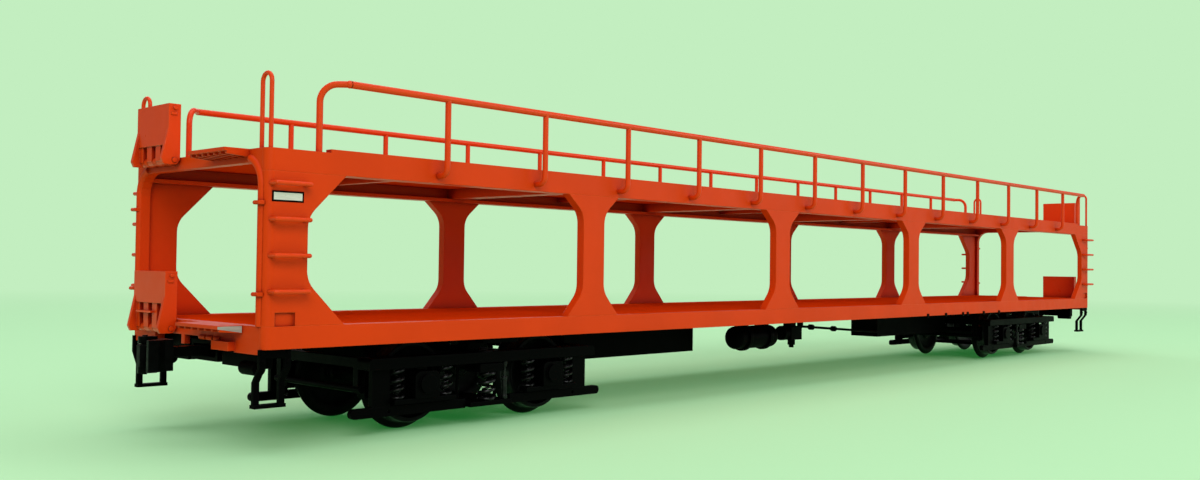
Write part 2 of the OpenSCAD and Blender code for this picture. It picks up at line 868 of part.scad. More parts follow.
// Two straps round the reservoir, hung from a plate that carries the valve too
module reservoir_straps() {
    strap_w = 0.8;
    strap_t = 0.35;
    hanger = 1.2;
    gap = 0.02;
    plate_in = 1.8;
    r = tank_d / 2;
    color(satin_black) for (x = [tank_x - tank_l / 4, tank_x + tank_l / 4])
        difference() {
            union() {
                translate([x - strap_w / 2, tank_y, tank_z]) rotate([0, 90, 0])
                    cylinder(h = strap_w, r = r + strap_t);
                block(
                    [x - strap_w / 2, tank_y - hanger, tank_z],
                    [x + strap_w / 2, tank_y + hanger, under_plate]
                );
            }
            translate([x - strap_w, tank_y, tank_z]) rotate([0, 90, 0])
                cylinder(h = 2 * strap_w, r = r + gap);
        }
    color(satin_black)
        block(
            [tank_x - tank_l / 2, tank_y - plate_in, under_plate - plate_t],
            [valve_x + 2, tank_y + plate_in, under_plate]
        );
}

// Distributing valve on its bracket, with a round cover and a lower cock
module brake_valve() {
    z = spine_z - 1.8;
    body = [3.5, 2.8, 2.5];
    neck = [1.8, 1.6];
    cover_d = 2.6;
    cover_t = 1.6;
    cap_d = 1.6;
    cap_t = 0.5;
    cock_d = 1.4;
    cock_h = 1;
    body_x = valve_x - 1.5;
    top = z + body.z / 2;
    low = z - body.z / 2;
    color(satin_black) {
        block([body_x, tank_y - body.y / 2, low], [body_x + body.x, tank_y + body.y / 2, top]);
        translate([valve_x, tank_y, 0])
            block([-neck.x / 2, -neck.y / 2, top], [neck.x / 2, neck.y / 2, under_plate - plate_t]);
        translate([body_x - cover_t, tank_y, z]) rotate([0, 90, 0]) cylinder(h = cover_t, d = cover_d);
        translate([body_x - cover_t - cap_t, tank_y, z]) rotate([0, 90, 0]) cylinder(h = cap_t, d = cap_d);
        translate([valve_x + 0.6, tank_y, low - cock_h]) cylinder(h = cock_h, d = cock_d);
        translate([valve_x + 0.6, tank_y, low - cock_h - cap_t]) cylinder(h = cap_t, d = cock_d - 0.5);
    }
}

// Brake rod, sloping from its crank under the centre sill to the rear deep box
module brake_rod() {
    rod_d = 0.5;
    crank_x = 2.1;
    crank = [0.5, 0.4];
    clamp_w = 1;
    clamp_d = 1.1;
    y = -spine_w + 0.2;
    a = [crank_x, y, spine_z - 1.2];
    b = [deep_in, y, deep_z + 1.1];
    along = unit(b - a);
    color(satin_black) {
        rod(a, b, rod_d);
        for (t = [3.5, 12]) rod(a + along * t, a + along * (t + clamp_w), clamp_d);
        translate(a) sphere(d = 2 * rod_d);
        block(a - [crank.x, crank.y, 0], [a.x + crank.x, a.y + crank.y, spine_z]);
    }
}

// Couplers -----------------------------------------------------------------

pivot_x = -half_l + coupler_inset;
shank_z = sill_z - 1.55;
shank_t = 1.15;
shank_w = 0.9;
box_w = 3.2;
box_wall = 0.5;
box_gap = 0.15;
box_low = shank_z - box_gap - box_wall;
box_high = shank_z + shank_t + box_gap + box_wall;
coupler_gap = 0.05;
eye_r = 1.5;

// Draft box under each end, open to the front, with a pin hole through roof and floor
module coupler_boxes() {
    back_x = pivot_x + 2.6;
    mouth_x = -deck_end + 0.3;
    neck_x = mouth_x + 1.5;
    color(satin_black) both_ends() difference() {
        union() {
            block([mouth_x, -box_w, box_low], [back_x, box_w, box_high]);
            block([neck_x, -box_w, box_high], [back_x, box_w, under_deck]);
        }
        block(
            [mouth_x - past, -box_w + box_wall, box_low + box_wall],
            [back_x - box_wall, box_w - box_wall, box_high - box_wall]
        );
        translate([pivot_x, 0, box_low - past]) cylinder(h = box_high - box_low + past, d = coupler_pin_d);
    }
}

// Pivot pins with heads under the boxes
module coupler_pins() {
    head_t = 0.5;
    color(steel) both_ends() translate([pivot_x, 0, 0]) {
        translate([0, 0, box_low]) cylinder(h = box_high - box_low, d = coupler_pin_d);
        translate([0, 0, box_low - head_t]) cylinder(h = head_t, d = coupler_pin_d + 1);
    }
}

head_x = pivot_x - coupler_l;
head_z = shank_z + shank_t / 2 - head_h / 2 - 0.3;
knuckle_pin = [head_x - 1.15, 1.15];
knuckle_pin_d = 0.6;
knuckle_gap = 0.05;
knuckle_r = 0.7;
lug_t = 0.8;
lug_gap = 0.08;

// Coupler: eye, shank and head with its guard arm and knuckle lugs
module coupler() {
    head_w = 1.5;
    lug_r = 0.75;
    step = 0.3;
    pin = [knuckle_pin.x, knuckle_pin.y, 0];
    color(satin_black) difference() {
        union() {
            translate([pivot_x, 0, shank_z]) cylinder(h = shank_t, r = eye_r);
            block([head_x, -shank_w, shank_z], [pivot_x, shank_w, shank_z + shank_t]);
            block([head_x - 0.2, -head_w, head_z + step], [head_x + 1, head_w, head_z + head_h - step]);
            // Guard arm
            translate([head_x, 0, head_z + step]) linear_extrude(head_h - 2 * step) polygon([
                [0, -head_w],
                [-1, -head_w - 0.6],
                [-2.2, -head_w - 0.6],
                [-2.2, -head_w - 0.1],
                [-1.1, -0.8],
                [0, -0.6]
            ]);
            // Lugs above and below the knuckle
            for (z = [head_z, head_z + head_h - lug_t]) {
                translate(pin + [0, 0, z]) cylinder(h = lug_t, r = lug_r);
                block([pin.x, pin.y - lug_r, z], [head_x, pin.y + head_w - pin.y, z + lug_t]);
            }
        }
        translate([pivot_x, 0, shank_z - past])
            cylinder(h = shank_t + 2 * past, d = coupler_pin_d + 2 * coupler_gap);
        translate(pin + [0, 0, head_z - past])
            cylinder(h = head_h + 2 * past, d = knuckle_pin_d + 2 * knuckle_gap);
        // Room for the knuckle's barrel and tail
        translate(pin + [0, 0, head_z + lug_t]) cylinder(h = head_h - 2 * lug_t, r = knuckle_r + 0.35);
    }
}
module coupler_front() { coupler(); }
module coupler_rear() { turned() coupler(); }

// Knuckle with its own pin: a hook that closes the head
module knuckle() {
    low = head_z + lug_t + lug_gap;
    pin_over = 0.15;
    color(steel) translate([knuckle_pin.x, knuckle_pin.y, 0]) {
        translate([0, 0, low]) linear_extrude(head_h - 2 * lug_t - 2 * lug_gap) {
            circle(r = knuckle_r);
            polygon([
                [-knuckle_r, 0],
                [-1.15, -0.5],
                [-1.15, -1.3],
                [-0.5, -1.5],
                [-0.3, -1],
                [0.1, -knuckle_r],
                [0.5, 0]
            ]);
        }
        translate([0, 0, head_z - pin_over]) cylinder(h = head_h + 2 * pin_over, d = knuckle_pin_d);
    }
}
module knuckle_front() { knuckle(); }
module knuckle_rear() { turned() knuckle(); }

// Kingpin screws: shank in the body boss, slotted head under the bogie bolster
module kingpin_screws() {
    head_top = bolster_z - plate_gap;
    head_t = 0.9;
    head_r = 1.75;
    slot_w = 0.5;
    slot_t = 0.3;
    color(steel) both_ends() translate([-bogie_x, 0, 0]) {
        translate([0, 0, head_top]) cylinder(h = screw_top - head_top, d = kingpin_d);
        difference() {
            translate([0, 0, head_top - head_t]) cylinder(h = head_t, r = head_r);
            block(
                [-head_r - past, -slot_w / 2, head_top - head_t - past],
                [head_r + past, slot_w / 2, head_top - head_t + slot_t]
            );
        }
    }
}

// Bogies --------------------------------------------------------------------

// Side frame outline: top member with end legs, and pedestal legs on both sides of each axlebox
module bogie_frame() {
    round_r = 0.5;
    end_leg = 2.6;
    end_leg_out = frame_reach - 1;
    leg_w = 0.8;
    leg_z = 4.9;
    leg_in = wheelbase / 2 - box_half - pedestal_gap;
    leg_out = wheelbase / 2 + box_half + pedestal_gap;
    color(satin_black) {
        both_sides() {
            // Top member
            side_plate(rounded([
                [-frame_reach, frame_z, 0],
                [-frame_reach, frame_top, round_r],
                [frame_reach, frame_top, round_r],
                [frame_reach, frame_z, 0]
            ]), side_in, side_out);
            both_ends() {
                // End leg that carries the tie bar
                block([end_leg_out - end_leg, tie_y, tie_z + tie_h], [end_leg_out, tie_y + tie_t, frame_z]);
                // Pedestal legs
                for (x = [leg_in - leg_w, leg_out])
                    block([x, side_in, leg_z], [x + leg_w, side_in + pedestal_t, frame_z]);
            }
        }
        // Transoms, and end bars across both ends
        both_ends() {
            block([transom_x, -side_in, transom_z], [transom_x + transom_w, side_in, frame_top]);
            block([frame_reach - end_bar_t, -side_in, end_bar_z], [frame_reach, side_in, frame_top]);
        }
    }
}

// Bolster: flat in the middle, dropped under the side frames, with its boss and side bearers;
// the spring plank hangs below it on four swing links
module bogie_bolster() {
    top = frame_top;
    low = bolster_z;
    drop_z = low - bolster_drop;
    step = 0.1;
    bend_y = side_in - 0.4;
    end_y = side_out - 0.2;
    link_d = 0.5;
    link_x = transom_x + transom_w / 2;
    link_y = side_in - 0.8;
    bearer_y = 8;
    bearer_half = 1;
    bearer_top = spine_z - 0.3;
    color(satin_black) {
        difference() {
            union() {
                end_plate([
                    [-bend_y, top],
                    [-bend_y, low],
                    [-end_y, low - step],
                    [-end_y, drop_z],
                    [-bend_y + 0.2, drop_z],
                    [-bend_y + 1.4, low],
                    [bend_y - 1.4, low],
                    [bend_y - 0.2, drop_z],
                    [end_y, drop_z],
                    [end_y, low - step],
                    [bend_y, low],
                    [bend_y, top]
                ], -bolster_half, bolster_half);
                translate([0, 0, top - step]) cylinder(h = boss_top - top + step, r = boss_r);
                for (y = [-bearer_y, bearer_y])
                    block([-bearer_half, y - bearer_half, top], [bearer_half, y + bearer_half, bearer_top]);
            }
            translate([0, 0, low - past])
                cylinder(h = boss_top - low + 2 * past, d = kingpin_d + 2 * kingpin_gap);
        }
        // Spring plank and its links up to the transoms
        block([-plank_half, -end_y, plank_z], [plank_half, end_y, plank_top]);
        both_ends() both_sides() rod([link_x, link_y, plank_top], [link_x, link_y, transom_z], link_d);
    }
}

// One coil spring as its outer form: a ringed sleeve
module coil(x, y, z, h, r) {
    turns = 4;
    pitch = h / turns;
    groove = 0.25;
    translate([x, y, z]) {
        cylinder(h = h, r = r - groove);
        for (i = [0 : turns - 1])
            translate([0, 0, (i + 0.25) * pitch]) cylinder(h = pitch / 2, r = r);
    }
}

// One bolster spring and one damper a side, and axlebox springs either side of each box
module bogie_springs() {
    main_r = 1.3;
    main_h = bolster_z - bolster_drop - plank_top;
    wing_top = wing_z + wing_t;
    wing_r = 1;
    wing_mid = side_mid + 0.25;
    color(steel) both_sides() {
        coil(0, side_mid, plank_top, main_h, main_r);
        for (s = [-1, 1], t = [-1, 1])
            coil(s * wheelbase / 2 + t * axle_spring_x, wing_mid, wing_top, frame_z - wing_top, wing_r);
    }
    // Damper: a wide lower tube and a slim upper rod, beyond the bolster
    damper_x = 2.6;
    damper_y = side_out - 0.65;
    tube_h = 3;
    color(steel) for (s = [-1, 1]) translate([damper_x, s * damper_y, plank_top]) {
        cylinder(h = tube_h, r = 0.45);
        translate([0, 0, tube_h]) cylinder(h = frame_z - plank_top - tube_h, r = 0.25);
    }
}

// Axlebox with spring wings and a blind journal bore
module axleboxes() {
    y1 = side_in + 0.2;
    y2 = side_out + 0.3;
    box_low = axle_z - 1.75;
    box_top = axle_z + 1.55;
    foot_half = 1.2;
    cover_r = 1.25;
    cover_t = 0.35;
    bore_end = wheel_out + 2.55;
    color(satin_black) for (s = [-1, 1]) both_sides() translate([s * wheelbase / 2, 0, 0]) difference() {
        union() {
            side_plate(rounded([
                [-box_half, box_low, 0.3],
                [-box_half, box_top, 0.8],
                [box_half, box_top, 0.8],
                [box_half, box_low, 0.3]
            ]), y1, y2);
            // Wings stand outside the pedestal legs
            block([-wing_reach, wing_y, wing_z], [wing_reach, side_out, wing_z + wing_t]);
            block([-foot_half, wing_y, wing_z], [foot_half, side_out, axle_z]);
            // Front cover
            cross_rod(0, axle_z, y2, y2 + cover_t, 2 * cover_r);
        }
        cross_rod(0, axle_z, y1 - past, bore_end, journal_d + 2 * journal_gap);
    }
}

// Tie bars: flat bars with round ends under the axleboxes, parted where the spring plank passes
module tie_bars() {
    r = tie_h / 2;
    hole_x = wheelbase / 2 + 5;
    hole_d = 0.5;
    plank_gap = 0.3;
    color(satin_black) both_sides() difference() {
        union() {
            block([-tie_reach + r, tie_y, tie_z], [tie_reach - r, tie_y + tie_t, tie_z + tie_h]);
            for (x = [-tie_reach + r, tie_reach - r]) cross_rod(x, tie_z + r, tie_y, tie_y + tie_t, tie_h);
        }
        for (x = [-hole_x, hole_x]) cross_rod(x, tie_z + r, tie_y - past, tie_y + tie_t + past, hole_d);
        block(
            [-plank_half - plank_gap, tie_y - past, tie_z - past],
            [plank_half + plank_gap, tie_y + tie_t + past, tie_z + tie_h + past]
        );
    }
}

// Brake beams across both ends, with a shoe and hanger at each wheel
module brake_gear() {
    shoe_gap = 0.4;
    shoe_t = 1.4;
    shoe_half = 1.65;
    beam_d = 0.9;
    beam_clear = 0.6;
    y1 = back_to_back / 2 + 0.9;
    y2 = wheel_out - 0.3;
    hang_x = wheelbase / 2 + flange_r + 1.3;
    hang_in = 0.3;
    r = tread_d / 2 + shoe_gap;
    color(satin_black) both_ends() {
        cross_rod(hang_x, axle_z - 0.55, -side_in + beam_clear, side_in - beam_clear, beam_d);
        both_sides() {
            // Shoe: a ring segment facing the tread
            intersection() {
                translate([wheelbase / 2, 0, axle_z]) rotate([-90, 0, 0]) difference() {
                    translate([0, 0, y1]) cylinder(h = y2 - y1, r = r + shoe_t);
                    translate([0, 0, y1 - past]) cylinder(h = y2 - y1 + 2 * past, r = r);
                }
                block([wheelbase / 2, 0, axle_z - shoe_half], [hang_x, side_in, axle_z + shoe_half]);
            }
            // Hanger up to the end bar
            block([hang_x - 0.5, y1 + hang_in, axle_z - 1], [hang_x + 0.3, y2 - hang_in, end_bar_z]);
        }
    }
}

// Wheelset: two flanged wheels on an axle with turned-down journals
module wheelset(x) {
    back = back_to_back / 2;
    tip = wheel_out + 2.3;
    collar = 0.4;
    tread_r = tread_d / 2;
    hub_r = 1.8;
    rim_t = 0.7;
    dish = 0.7;
    color(steel) translate([x, 0, axle_z]) rotate([-90, 0, 0]) {
        translate([0, 0, -wheel_out - collar]) cylinder(h = 2 * (wheel_out + collar), d = axle_d);
        translate([0, 0, -tip]) cylinder(h = 2 * tip, d = journal_d);
        for (s = [0, 1]) mirror([0, 0, s]) translate([0, 0, back]) rotate_extrude()
            polygon([
                [0, 0],
                [flange_r - 1.5, 0],
                [flange_r - 1.3, -0.1],
                [flange_r - 0.25, -0.1],
                [flange_r, 0.1],
                [flange_r, 0.45],
                [flange_r - 0.3, 0.75],
                [tread_r, 0.95],
                [tread_r - 0.1, wheel_w],
                [tread_r - rim_t, wheel_w],
                [tread_r - rim_t - 0.2, wheel_w - dish],
                [hub_r, wheel_w - dish - 0.4],
                [hub_r - 0.2, wheel_w],
                [0, wheel_w]
            ]);
    }
}
module wheelset_1() { wheelset(-bogie_x - wheelbase / 2); }
module wheelset_2() { wheelset(-bogie_x + wheelbase / 2); }
module wheelset_3() { wheelset(bogie_x - wheelbase / 2); }
module wheelset_4() { wheelset(bogie_x + wheelbase / 2); }

module at_front() { translate([-bogie_x, 0, 0]) children(); }
module at_rear() { turned() at_front() children(); }
module bogie_frame_front() { at_front() bogie_frame(); }
module bogie_bolster_front() { at_front() bogie_bolster(); }
module bogie_springs_front() { at_front() bogie_springs(); }
module axleboxes_front() { at_front() axleboxes(); }
module tie_bars_front() { at_front() tie_bars(); }
module brake_gear_front() { at_front() brake_gear(); }
module bogie_frame_rear() { at_rear() bogie_frame(); }
module bogie_bolster_rear() { at_rear() bogie_bolster(); }
module bogie_springs_rear() { at_rear() bogie_springs(); }
module axleboxes_rear() { at_rear() axleboxes(); }
module tie_bars_rear() { at_rear() tie_bars(); }
module brake_gear_rear() { at_rear() brake_gear(); }

side_sill_left();
side_sill_right();
sill_clips();
top_beam_left();
top_beam_right();
posts_left();
posts_right();
corner_panels_left();
corner_panels_right();
portal_front();
portal_rear();
end_sill_front();
end_sill_rear();
lower_deck();
upper_deck();
lower_bearers();
upper_bearers();
aprons();
hinge_pins();
gangplate_upper_front();
gangplate_upper_rear();
gangplate_lower_front();
gangplate_lower_rear();
handrail_left();
handrail_right();
corner_hoops();
ladder_rungs();
corner_steps();
centre_sill();
body_bolsters();
headstocks();
air_reservoir();
reservoir_straps();
brake_valve();
brake_rod();
coupler_boxes();
coupler_pins();
coupler_front();
coupler_rear();
knuckle_front();
knuckle_rear();
kingpin_screws();
bogie_frame_front();
bogie_bolster_front();
bogie_springs_front();
axleboxes_front();
tie_bars_front();
brake_gear_front();
bogie_frame_rear();
bogie_bolster_rear();
bogie_springs_rear();
axleboxes_rear();
tie_bars_rear();
brake_gear_rear();
wheelset_1();
wheelset_2();
wheelset_3();
wheelset_4();
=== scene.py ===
import json
import math

import bmesh
import bpy
from mathutils import Matrix, Vector


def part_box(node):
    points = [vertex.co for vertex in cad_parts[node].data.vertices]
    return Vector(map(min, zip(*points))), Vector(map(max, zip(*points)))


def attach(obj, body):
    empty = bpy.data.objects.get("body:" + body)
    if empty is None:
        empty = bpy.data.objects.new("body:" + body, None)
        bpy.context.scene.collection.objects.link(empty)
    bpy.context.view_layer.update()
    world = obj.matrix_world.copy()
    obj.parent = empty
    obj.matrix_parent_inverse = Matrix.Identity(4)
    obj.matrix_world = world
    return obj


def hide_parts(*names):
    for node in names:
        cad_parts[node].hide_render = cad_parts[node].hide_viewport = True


MM = 0.001
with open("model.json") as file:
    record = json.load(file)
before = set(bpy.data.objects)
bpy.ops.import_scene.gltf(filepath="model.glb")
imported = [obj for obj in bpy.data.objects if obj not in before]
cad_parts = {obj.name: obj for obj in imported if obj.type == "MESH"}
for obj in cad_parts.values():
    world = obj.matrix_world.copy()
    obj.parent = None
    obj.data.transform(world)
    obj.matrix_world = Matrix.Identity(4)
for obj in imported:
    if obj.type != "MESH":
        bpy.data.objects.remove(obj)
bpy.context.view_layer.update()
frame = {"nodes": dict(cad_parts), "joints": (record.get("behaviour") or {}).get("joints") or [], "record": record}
JOINTS = {j["name"]: j for j in frame["joints"]}
scene = bpy.context.scene
scene.view_settings.view_transform = "Standard"


# ---------------------------------------------------------------- materials

# Rays per lookup of a rounded edge or a hollow, and the cosines between the rounded and the
# true normal at which an edge begins and is full
RAY_SAMPLES = 6
EDGE_NONE = 0.995
EDGE_FULL = 0.86


class Graph:
    """Short way to build a material out of nodes."""

    def __init__(self, name):
        self.mat = bpy.data.materials.new(name)
        self.mat.use_nodes = True
        self.nt = self.mat.node_tree
        self.bsdf = self.nt.nodes["Principled BSDF"]

    def add(self, kind):
        return self.nt.nodes.new(kind)

    def link(self, a, b):
        self.nt.links.new(a, b)

    def coords(self, stretch=(1, 1, 1)):
        """Object coordinates in metres: the wagon's own frame, or on a wheelset the axle's."""
        c = self.add("ShaderNodeTexCoord").outputs["Object"]
        if tuple(stretch) == (1, 1, 1):
            return c
        m = self.add("ShaderNodeMapping")
        m.inputs["Scale"].default_value = stretch
        self.link(c, m.inputs["Vector"])
        return m.outputs["Vector"]

    def noise(self, size_mm, detail=3.0, rough=0.55, stretch=(1, 1, 1)):
        n = self.add("ShaderNodeTexNoise")
        n.inputs["Scale"].default_value = 1.0 / (size_mm * MM)
        n.inputs["Detail"].default_value = detail
        n.inputs["Roughness"].default_value = rough
        self.link(self.coords(stretch), n.inputs["Vector"])
        return n.outputs["Fac"]

    def ramp(self, value, low, high, out_low=0.0, out_high=1.0):
        n = self.add("ShaderNodeMapRange")
        n.interpolation_type = "SMOOTHSTEP"
        n.inputs["From Min"].default_value = low
        n.inputs["From Max"].default_value = high
        n.inputs["To Min"].default_value = out_low
        n.inputs["To Max"].default_value = out_high
        self.link(value, n.inputs["Value"])
        return n.outputs["Result"]

    def math(self, op, a, b=None):
        n = self.add("ShaderNodeMath")
        n.operation = op
        for i, v in enumerate((a, b)):
            if v is None:
                continue
            if isinstance(v, (int, float)):
                n.inputs[i].default_value = v
            else:
                self.link(v, n.inputs[i])
        return n.outputs["Value"]

    def length(self, a, b):
        """Length of the vector with these two components."""
        squares = (self.math("MULTIPLY", a, a), self.math("MULTIPLY", b, b))
        return self.math("SQRT", self.math("ADD", *squares))

    def split(self, vector):
        """The three components of a vector."""
        sep = self.add("ShaderNodeSeparateXYZ")
        self.link(vector, sep.inputs[0])
        return sep.outputs["X"], sep.outputs["Y"], sep.outputs["Z"]

    def mix(self, factor, a, b):
        n = self.add("ShaderNodeMix")
        n.data_type = "RGBA"
        for socket, v in ((n.inputs[0], factor), (n.inputs[6], a), (n.inputs[7], b)):
            if isinstance(v, (int, float)):
                socket.default_value = v
            elif isinstance(v, (tuple, list)):
                socket.default_value = (*v[:3], 1.0)
            else:
                self.link(v, socket)
        return n.outputs[2]

    def edges(self, radius_mm):
        """(rounded normal, mask that is 1 on edges)."""
        bev = self.add("ShaderNodeBevel")
        bev.samples = RAY_SAMPLES
        bev.inputs["Radius"].default_value = radius_mm * MM
        geo = self.add("ShaderNodeNewGeometry")
        dot = self.add("ShaderNodeVectorMath")
        dot.operation = "DOT_PRODUCT"
        self.link(bev.outputs["Normal"], dot.inputs[0])
        self.link(geo.outputs["Normal"], dot.inputs[1])
        mask = self.ramp(dot.outputs["Value"], EDGE_NONE, EDGE_FULL)
        return bev.outputs["Normal"], mask

    def hollow(self, distance_mm):
        """1 in the open, towards 0 in corners."""
        n = self.add("ShaderNodeAmbientOcclusion")
        n.samples = RAY_SAMPLES
        n.inputs["Distance"].default_value = distance_mm * MM
        return n.outputs["AO"]

    def bump(self, height, distance_mm, strength, normal=None):
        n = self.add("ShaderNodeBump")
        n.inputs["Distance"].default_value = distance_mm * MM
        n.inputs["Strength"].default_value = strength
        self.link(height, n.inputs["Height"])
        if normal is not None:
            self.link(normal, n.inputs["Normal"])
        return n.outputs["Normal"]


def painted(name, base, shade_colour, worn_and_sheen, rough, edge_amount, specular):
    """Satin paint over moulded plastic: drifting tone, painted shade in hollows, worn edges with a painted
    highlight, fine grain.
    """
    g = Graph(name)
    normal, edge = g.edges(0.14)
    drift = g.ramp(g.noise(9.0, 4.0), 0.3, 0.7)
    tone = g.mix(drift, base, tuple(c * 0.93 for c in base))
    # Painted shade: the paint turns to the shade colour in hollows and corners
    painted_shade = g.ramp(g.hollow(2.2), 0.25, 0.95)
    tone = g.mix(painted_shade, shade_colour, tone)
    broken = g.ramp(g.noise(0.9, 5.0, 0.65), 0.38, 0.62, 0.35, 1.0)
    # Edges turn lighter: partly wear, partly a painted highlight along the edges
    wear_and_sheen = g.math("MULTIPLY", g.math("MULTIPLY", edge, broken), edge_amount)
    g.link(g.mix(wear_and_sheen, tone, worn_and_sheen), g.bsdf.inputs["Base Color"])
    r = g.ramp(g.noise(2.4, 4.0), 0.25, 0.75, rough - 0.05, rough + 0.06)
    r = g.math("SUBTRACT", r, g.math("MULTIPLY", edge, 0.06))
    g.link(r, g.bsdf.inputs["Roughness"])
    fine = g.noise(0.16, 2.0)
    soft = g.noise(1.6, 2.0)
    height = g.math("ADD", g.math("MULTIPLY", fine, 0.35), soft)
    g.link(g.bump(height, 0.02, 0.5, normal), g.bsdf.inputs["Normal"])
    g.bsdf.inputs["Specular IOR Level"].default_value = specular
    return g


def metal(name, base, dark, bright, rough, metallic, edge_amount, specular=0.5):
    """Blackened or turned metal with painted shade in its hollows, brighter rubbed edges and fine machining."""
    g = Graph(name)
    normal, edge = g.edges(0.1)
    patch = g.ramp(g.noise(1.3, 5.0, 0.6), 0.3, 0.7)
    tone = g.mix(patch, dark, base)
    # Painted shade: a third of the dark colour fills the hollows and corners
    painted_shade = g.ramp(g.hollow(1.2), 0.2, 0.9)
    tone = g.mix(painted_shade, tuple(c * 0.3 for c in dark), tone)
    rub = g.math("MULTIPLY", edge, edge_amount)
    g.link(g.mix(rub, tone, bright), g.bsdf.inputs["Base Color"])
    r = g.ramp(g.noise(0.7, 4.0), 0.3, 0.7, rough - 0.08, rough + 0.1)
    g.link(r, g.bsdf.inputs["Roughness"])
    g.bsdf.inputs["Metallic"].default_value = metallic
    g.bsdf.inputs["Specular IOR Level"].default_value = specular
    g.link(g.bump(g.noise(0.2, 3.0), 0.012, 0.5, normal), g.bsdf.inputs["Normal"])
    return g.mat


# Colours: the paint's own, the painted shade in its hollows, and its edges, part worn thin and part painted
# highlight
VERMILION = (0.73, 0.047, 0.0020)
FITTING_RED = (0.78, 0.052, 0.003)
RED_SHADE = (0.30, 0.008, 0.001)
RED_WORN_SHEEN = (0.92, 0.12, 0.022)
BLACK = (0.0008, 0.0008, 0.0009)
BLACK_SHADE = (0.0002, 0.0002, 0.0002)
BLACK_WORN = (0.006, 0.006, 0.0065)
REDS = (VERMILION, RED_SHADE, RED_WORN_SHEEN)
BLACKS = (BLACK, BLACK_SHADE, BLACK_WORN)

paint = painted("vermilion_paint", *REDS, rough=0.44, edge_amount=0.4, specular=0.1).mat
fitting = painted(
    "vermilion_fittings", FITTING_RED, RED_SHADE, RED_WORN_SHEEN, rough=0.32, edge_amount=0.45, specular=0.2
).mat
black = painted("black_underframe", *BLACKS, rough=0.45, edge_amount=0.4, specular=0.012).mat
bogie_black = painted("black_bogie", *BLACKS, rough=0.38, edge_amount=0.5, specular=0.018).mat

# Metals: their own colour, its dark patches, which also give the painted shade in hollows, and the bright rubbed
# edges
DULL_METAL = (0.003, 0.003, 0.0033)
blackened = metal(
    "blackened_metal", DULL_METAL, (0.001, 0.001, 0.001), bright=(0.02, 0.02, 0.021),
    rough=0.42, metallic=0.5, edge_amount=0.3, specular=0.04,
)
steel = metal(
    "turned_steel", (0.42, 0.42, 0.44), (0.16, 0.16, 0.17), bright=(0.7, 0.7, 0.72),
    rough=0.34, metallic=1.0, edge_amount=0.4,
)
spring_steel = metal(
    "spring_steel", (0.018, 0.018, 0.019), (0.005, 0.005, 0.005), bright=(0.08, 0.08, 0.083),
    rough=0.3, metallic=0.8, edge_amount=0.35,
)


def deck_paint():
    """Deck plates: the body's paint with a raised tread of crossed bars along the wheel tracks."""
    g = painted("deck_tread", *REDS, rough=0.6, edge_amount=0.3, specular=0.0)
    x, y, _ = g.split(g.coords())
    # A chequer of squares turned 45 degrees, with one bar in each, turned the other way in turns
    pitch = 1.5 * MM
    u = g.math("DIVIDE", g.math("ADD", x, y), pitch)
    v = g.math("DIVIDE", g.math("SUBTRACT", x, y), pitch)
    fu = g.math("ABSOLUTE", g.math("SUBTRACT", g.math("FRACT", u), 0.5))
    fv = g.math("ABSOLUTE", g.math("SUBTRACT", g.math("FRACT", v), 0.5))
    square = g.math("ADD", g.math("FLOOR", u), g.math("FLOOR", v))
    parity = g.math("FRACT", g.math("MULTIPLY", square, 0.5))
    even = g.math("GREATER_THAN", parity, 0.25)
    bar_a = g.math("MULTIPLY", g.ramp(fu, 0.16, 0.09), g.ramp(fv, 0.42, 0.34))
    bar_b = g.math("MULTIPLY", g.ramp(fv, 0.16, 0.09), g.ramp(fu, 0.42, 0.34))
    odd = g.math("SUBTRACT", 1.0, even)
    pattern = g.math("ADD", g.math("MULTIPLY", bar_a, even), g.math("MULTIPLY", bar_b, odd))
    ay = g.math("ABSOLUTE", y)
    track_in, track_out, fade = 3.4 * MM, 13.2 * MM, 0.2 * MM
    track = g.math(
        "MULTIPLY", g.ramp(ay, track_in, track_in + fade), g.ramp(ay, track_out, track_out - fade)
    )
    # Only the top faces carry the tread
    _, _, normal_z = g.split(g.add("ShaderNodeNewGeometry").outputs["Normal"])
    up = g.ramp(normal_z, 0.8, 0.95)
    height = g.math("MULTIPLY", g.math("MULTIPLY", pattern, track), up)
    old = g.bsdf.inputs["Normal"].links[0].from_socket
    g.link(g.bump(height, 0.06, 0.8, old), g.bsdf.inputs["Normal"])
    return g.mat


deck = deck_paint()

NODE_MATERIALS = {
    "orange_paint": paint,
    "orange_fittings": fitting,
    "black_underframe": black,
    "black_bogie": bogie_black,
    "dark_metal": blackened,
    "wheel_metal": blackened,
    "steel": steel,
}
slot_of = {s["node"]: s["material_slot"] for s in frame["record"]["subparts"]}
for name, node in frame["nodes"].items():
    mat = deck if name in ("lower_deck", "upper_deck") else NODE_MATERIALS[slot_of[name]]
    node.data.materials.clear()
    node.data.materials.append(mat)


# ---------------------------------------------------------------- mesh helpers

# Points closer than this, in metres, become one; corners sharper than this stay sharp
WELD = 1e-7
SHARP = math.radians(35)


def piece(name, bm, mat, body, smooth=True, origin=None):
    """Turns a bmesh into a piece that rides on a body."""
    bmesh.ops.recalc_face_normals(bm, faces=bm.faces)
    me = bpy.data.meshes.new(name)
    if origin is not None:
        bmesh.ops.translate(bm, verts=bm.verts, vec=-Vector(origin))
    bm.to_mesh(me)
    bm.free()
    for p in me.polygons:
        p.use_smooth = smooth
    ob = bpy.data.objects.new(name, me)
    scene.collection.objects.link(ob)
    if origin is not None:
        ob.location = origin
    me.materials.append(mat)
    if smooth:
        me.set_sharp_from_angle(angle=SHARP)
    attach(ob, body)
    return ob


